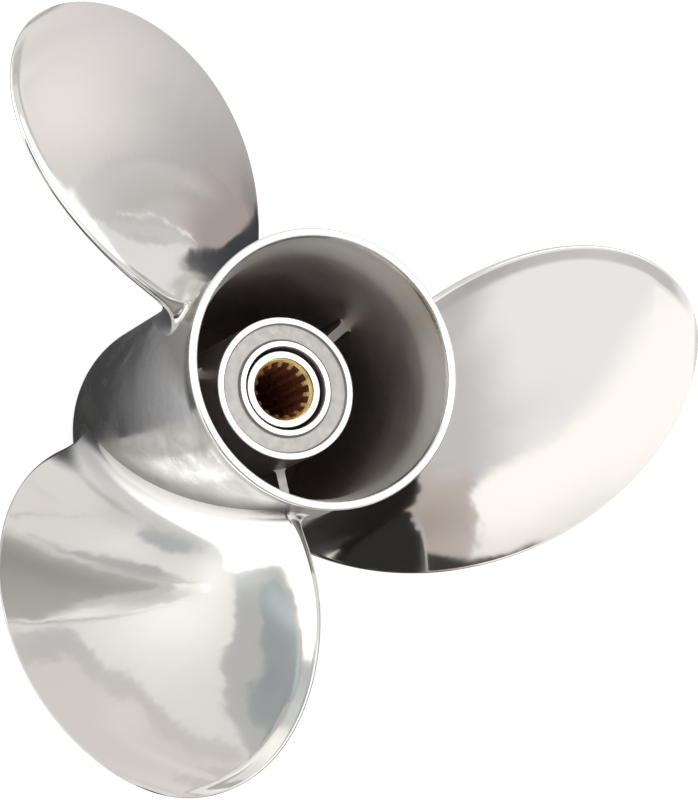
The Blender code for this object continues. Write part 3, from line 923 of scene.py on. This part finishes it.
def studio():
    studio_world()
    floor = plain_sheet("floor", [(-6, -6, 0), (6, -6, 0), (6, 6, 0), (-6, 6, 0)], floor_paper("floor_paper", (0.86, 0.86, 0.86), 0.55))
    floor.visible_glossy = False
    ring = [(0.0558 * math.cos(a), 0.0558 * math.sin(a), 0.0002) for a in (2 * math.pi * k / 64 for k in range(64))]
    plain_sheet("floor_in_shade", ring, floor_paper("shaded_paper", (0.16, 0.125, 0.11), 0.0))
    backdrop()

    # a broad soft light overhead, mirrored by every face that looks up
    panel("overhead", round_plan(1.25, -0.22, 1.12, 0.95), (2.1, 2.09, 2.07), floor_at(-3.0), soft=0.45, grid=0.2)

    # floor: a grey cloth, strips of light across it and a dark board, mirrored in the upper left blade
    panel("cloth", [(0.10, 0.04), (0.13, 0.09), (0.22, 0.105), (0.5, 0.105), (0.9, 0.10), (1.25, 0.0), (1.3, -0.4), (1.0, -1.0), (0.5, -1.1), (0.12, -0.3), (0.09, -0.05)], lit((0.645, 0.627, 0.617), (0.40, -0.13, 0.17, 0.07, (-0.10, -0.115, -0.13)), (1.0, -0.62, 0.45, 0.30, (-0.13, -0.15, -0.155)), (1.15, -0.24, 0.42, 0.22, (0.13, 0.13, 0.13))), floor_at(0.0012), soft=lambda x, y: 0.01 + 1.9 * smoothstep(0.22, 1.0, math.hypot(x, y)), grid=0.03)
    panel("cloth_rose", [(0.165, 0.010), (0.19, 0.004), (0.225, -0.008), (0.29, -0.045), (0.358, -0.105), (0.46, -0.185), (0.6, -0.305), (0.8, -0.46), (1.2, -0.80), (2.0, -1.5), (2.0, -2.2), (1.25, -1.45), (0.6, -0.75), (0.3, -0.33), (0.15, -0.10)], (0.465, 0.408, 0.395), floor_at(0.0011), soft=lambda x, y: 0.03 + 0.28 * max(0.0, x - 0.18), grid=0.03)
    panel("cloth_fold", streak([(0.17, 0.006), (0.21, 0.022), (0.27, 0.034), (0.36, 0.047), (0.46, 0.058), (0.6, 0.06)], 0.010), (0.70, 0.685, 0.675), floor_at(0.0010), soft=0.008, jag=0.003, seed=2.0)
    panel("cloth_gleam", streak([(0.175, 0.002), (0.21, 0.003), (0.25, 0.009), (0.29, 0.008), (0.33, 0.011), (0.37, 0.022), (0.43, 0.030), (0.52, 0.036)], 0.0026), (0.98, 0.95, 0.93), floor_at(0.0008), soft=0.002, jag=0.003, seed=4.0)
    panel("pale_sheet", [(0.118, 0.052), (0.130, 0.052), (0.148, 0.032), (0.158, 0.012), (0.166, 0.004), (0.176, 0.012), (0.20, 0.034), (0.24, 0.050), (0.32, 0.060), (0.5, 0.063), (0.7, 0.058), (0.7, 0.085), (0.4, 0.10), (0.2, 0.105), (0.13, 0.085)], (0.88, 0.872, 0.858), floor_at(0.0006), soft=0.006, jag=0.0025, seed=5.0)
    panel("bright_strip", [(0.112, 0.062), (0.135, 0.078), (0.16, 0.091), (0.2, 0.097), (0.27, 0.0975), (0.33, 0.095), (0.4, 0.091), (0.5, 0.084), (0.8, 0.058), (1.0, 0.038), (1.2, 0.018), (2.2, -0.10), (2.2, 0.02), (1.2, 0.09), (0.8, 0.125), (0.3, 0.14), (0.15, 0.125)], (1.5, 1.49, 1.47), floor_at(0.0004), soft=lambda x, y: 0.004 + 0.02 * x * x)
    panel("dark_board", [(0.108, 0.040), (0.126, 0.055), (0.150, 0.036), (0.166, 0.018), (0.170, 0.0), (0.18, -0.027), (0.2, -0.052), (0.257, -0.114), (0.364, -0.236), (0.582, -0.489), (0.8, -0.74), (1.03, -1.0), (1.6, -1.66), (2.4, -2.6), (1.6, -2.6), (0.35, -0.8), (0.12, -0.2), (0.085, -0.03)], lit((0.060, 0.064, 0.071), (0.15, 0.02, 0.02, 0.03, (0.02, 0.02, 0.02))), floor_at(0.0002), soft=lambda x, y: 0.0015 + 0.03 * max(0.0, x - 0.17), jag=0.0012, seed=6.0)
    rim = [(0.124 * math.cos(a), 0.124 * math.sin(a)) for a in (math.radians(60 + 4 * k) for k in range(76))]
    rim += [(0.050 * math.cos(a), 0.050 * math.sin(a)) for a in (math.radians(60 + 4 * k) for k in range(75, -1, -1))]
    panel("foot_shade", rim, barrel_shade, floor_at(0.0014), soft=0.012, curved=False, grid=0.004)

    # wall beyond the upper left blade
    wall = lit((0.50, 0.482, 0.478), (-14, 8, 14, 9, (0.44, 0.425, 0.405)), (-29, 16, 14, 7, (0.27, 0.26, 0.26)), (-8, -3, 14, 9, (0.17, 0.165, 0.165)), (-42, -5, 6, 8, (0.0, -0.045, -0.045)), (-3, -9, 5, 9, (0.16, 0.16, 0.155)), (-47, 2.5, 3.5, 4.5, (-0.18, -0.18, -0.18)))
    panel("wall_left", [(-70, -40), (12, -40), (16, -10), (14, 14), (8, 24), (-15, 27), (-40, 26), (-60, 18), (-70, 0)], wall, wall_at(4.3), soft=5.0, grid=2.5)
    panel("wall_foot", [(-75, 4), (-53, 6.5), (-49.4, 4.2), (-48.2, 2.2), (-47.6, 0.0), (-46.4, -3), (-43, -7), (-40, -11), (-50, -22), (-75, -20)], (0.05, 0.051, 0.053), wall_at(4.2), soft=1.2)

    # wall, screen and band of shade beyond the lowest blade
    wall = lit((0.86, 0.85, 0.835), (71, 19, 17, 8.5, (0.33, 0.32, 0.27)), (84, 10, 6, 6, (0.26, 0.27, 0.24)), (36, 0, 5, 5, (0.0, -0.03, -0.03)), (57, 3.5, 7, 4, (0.08, 0.09, 0.08)), (54, -5.5, 7, 3, (-0.13, -0.13, -0.13)))
    panel("wall_low", [(14, -20), (40, -16), (60, -10), (90, -4), (118, -4), (122, 20), (112, 38), (95, 48), (60, 52), (30, 46), (12, 25)], wall, wall_at(4.3), soft=4.0, grid=2.5)
    panel("wall_rose", [(30, 23), (38, 22.0), (44, 22.0), (48, 22.4), (51, 25), (53, 27), (57, 29), (59.5, 31.5), (62, 35), (65, 37.6), (70, 40), (66, 48), (45, 46), (28, 36)], lit((0.79, 0.755, 0.745), (54, 30, 4, 3, (0.07, 0.07, 0.07))), wall_at(4.2), soft=0.8, jag=0.4, seed=7.0)
    panel("wall_band", streak([(34, 22.4), (40, 21.9), (44.2, 21.8), (47, 22.1), (50.3, 24.0), (53, 26.2), (56.5, 27.8), (58.8, 29.8), (59.8, 32.0), (62, 34.3), (65.5, 36.8), (69, 38.7), (71, 39.6)], 1.35), lit((0.69, 0.665, 0.65), (44, 22, 7, 4, (-0.08, -0.05, -0.04))), wall_at(4.1), soft=0.55, jag=0.45, seed=8.0)
    panel("wall_shelf", [(34, 9.2), (44, 7.9), (50.6, 7.2), (55, 6.9), (60, 7.0), (64, 7.5), (68, 8.5), (72, 10.2), (75, 12.0), (76, 14), (72, 15.2), (34, 16)], lit((0.52, 0.52, 0.51), (75, 11.5, 5, 3, (0.20, 0.20, 0.20))), wall_at(4.1), soft=0.7, jag=0.2, seed=9.5)
    panel("wall_line", streak([(27, 9.5), (32, 6.5), (37, 3.0), (42, 0.2), (48, -4.0)], 0.28), (0.66, 0.65, 0.63), wall_at(4.1), soft=0.4, jag=0.15, seed=9.0)
    panel("wall_cloud", [(60, -1.6), (64, 1.4), (70, 3.6), (76, 3.8), (83, 3.0), (86, 1.4), (80, 0.0), (73, -1.8), (65, -3.0)], (0.50, 0.535, 0.545), wall_at(4.1), soft=2.2, jag=0.4, seed=10.0)
    panel("white_wall", [(84.5, -3), (87, 0), (88.5, 5), (87.5, 9.5), (94, 10.5), (103.5, 11), (104.5, 20), (103, 27), (99, 34), (96, 42), (125, 55), (160, 50), (168, 30), (182, 10), (190, 2), (190, -14), (178, -22), (160, -24.5), (145, -27), (132, -29.5), (121, -27), (112, -22.5), (104, -17), (97, -11), (90, -6.5)], lit((1.45, 1.45, 1.45), (112, -20, 32, 13, (-0.60, -0.60, -0.62)), (182, -2, 10, 12, (-0.40, -0.41, -0.42))), wall_at(4.15), soft=1.6, grid=2.0)
    panel("lamp", [(87, 8.6), (91, 10.6), (97, 11), (104, 11.4), (110, 10), (113, 7), (108, 4), (98, 3), (90, 5)], (2.7, 2.7, 2.68), wall_at(4.12), soft=1.6)
    panel("screen", [(72.2, 42), (72.6, 38), (73.2, 34.2), (76.5, 32.6), (79, 29), (81.2, 27), (84, 25), (86, 21), (88, 17), (89.6, 12.2), (96, 10.6), (103.5, 11.2), (104.6, 20), (102, 27), (97, 34), (90, 40), (80, 45)], lit((0.56, 0.565, 0.555), (93, 13, 8, 4, (0.16, 0.20, 0.20)), (100, 25, 4, 6, (0.12, 0.15, 0.16))), wall_at(4.0), soft=lambda x, y: 0.5 + 2.5 * smoothstep(19, 12, y), jag=0.6, seed=11.0)
    panel("screen_dark", [(77, 37), (80, 34.2), (85, 33.4), (88, 31), (90, 27), (93, 24), (95, 19), (97, 15.5), (101, 16), (102.5, 21), (100, 28), (95, 33.5), (88, 38), (81, 39)], lit((0.385, 0.42, 0.43), (99, 20, 4.5, 6, (0.16, 0.20, 0.21)), (101, 26, 3, 4, (0.14, 0.18, 0.19)), (86, 33.5, 4, 2, (-0.04, -0.05, -0.04))), wall_at(3.9), soft=1.0, jag=0.6, seed=12.0)
    panel("low_grey", [(53, -11.4), (58, -9.8), (66, -7.8), (76, -6.8), (84, -7), (90, -10), (97, -16), (104, -22), (112, -27.5), (120, -31), (132, -32.6), (145, -29.5), (160, -26.5), (176, -25), (176, -50), (90, -50), (62, -32), (53, -16)], lit((0.62, 0.615, 0.605), (80, -28, 26, 14, (-0.17, -0.165, -0.165)), (96, -45, 30, 10, (-0.10, -0.10, -0.10))), wall_at(4.1), soft=1.4)

    # wall beyond the right blade, with dark furniture at its foot
    panel("wall_right", [(-200, -8), (-150, -10), (-95, -14), (-72, -16), (-70, 20), (-80, 48), (-110, 62), (-150, 68), (-200, 66)], right_wall, wall_at(4.4), soft=5.0, grid=3.0)
    panel("warm_light", [(-205, 47), (-181, 46.4), (-170, 43.6), (-162, 40.2), (-158, 38.6), (-152, 40), (-147, 43.5), (-142, 47), (-137, 49), (-130, 50), (-120, 51.5), (-110, 56), (-120, 72), (-205, 72)], lit((1.25, 1.22, 1.175), (-179, 50, 9, 12, (-0.20, -0.21, -0.21)), (-168, 56, 7, 4, (-0.18, -0.17, -0.15))), wall_at(4.3), soft=lambda x, y: 1.5 + 4.5 * smoothstep(-160, -145, x), grid=2.5)
    panel("curtain", [(-205, 47), (-180, 46.3), (-172, 44.2), (-165, 42), (-160, 39.4), (-153, 36.6), (-149, 33), (-148, 28), (-152, 24), (-160, 21), (-205, 18)], lit((0.61, 0.55, 0.515), (-172, 35, 11, 7, (-0.13, -0.14, -0.14)), (-150, 32, 5, 5, (0.08, 0.10, 0.12))), wall_at(4.2), soft=lambda x, y: 1.0 + 4.0 * smoothstep(-160, -148, x), grid=2.0)
    panel("header", [(-182.2, 24), (-182.0, 36), (-181.4, 40), (-181.4, 41.6), (-182.2, 44.4), (-182.3, 46.6), (-181.0, 48.5), (-179.7, 50.0), (-178.5, 51.4), (-175.4, 54.9), (-166, 59.0), (-154, 60.8), (-140, 61.4), (-140, 66), (-175, 68), (-200, 66), (-200, 24)], lit((0.05, 0.049, 0.047), (-168, 61, 9, 6, (0.16, 0.16, 0.155)), (-148, 62, 10, 5, (0.3, 0.3, 0.3))), wall_at(4.05), soft=1.4, grid=2.0)
    panel("furniture", [(-198, 26), (-186, 26), (-180, 25.2), (-172, 26.8), (-165, 30.2), (-160, 29.4), (-154, 26.8), (-147, 21), (-140, 12), (-130, 2), (-118, -6), (-118, -20), (-175.4, -20), (-175.8, -3), (-176.2, 3), (-178.5, 6), (-190, 7), (-198, 10)], (0.015, 0.013, 0.012), wall_at(4.1), soft=0.6, jag=0.5, seed=13.0)
    panel("furniture_low", [(-164, -3), (-150, -4), (-120, -4), (-106, -1), (-101, 0.5), (-97, -1), (-94, -5), (-92, -10), (-91, -16), (-94, -24), (-98, -32), (-164, -36)], (0.035, 0.034, 0.034), wall_at(4.05), soft=1.0)


studio()
scene.view_settings.view_transform = "Standard"
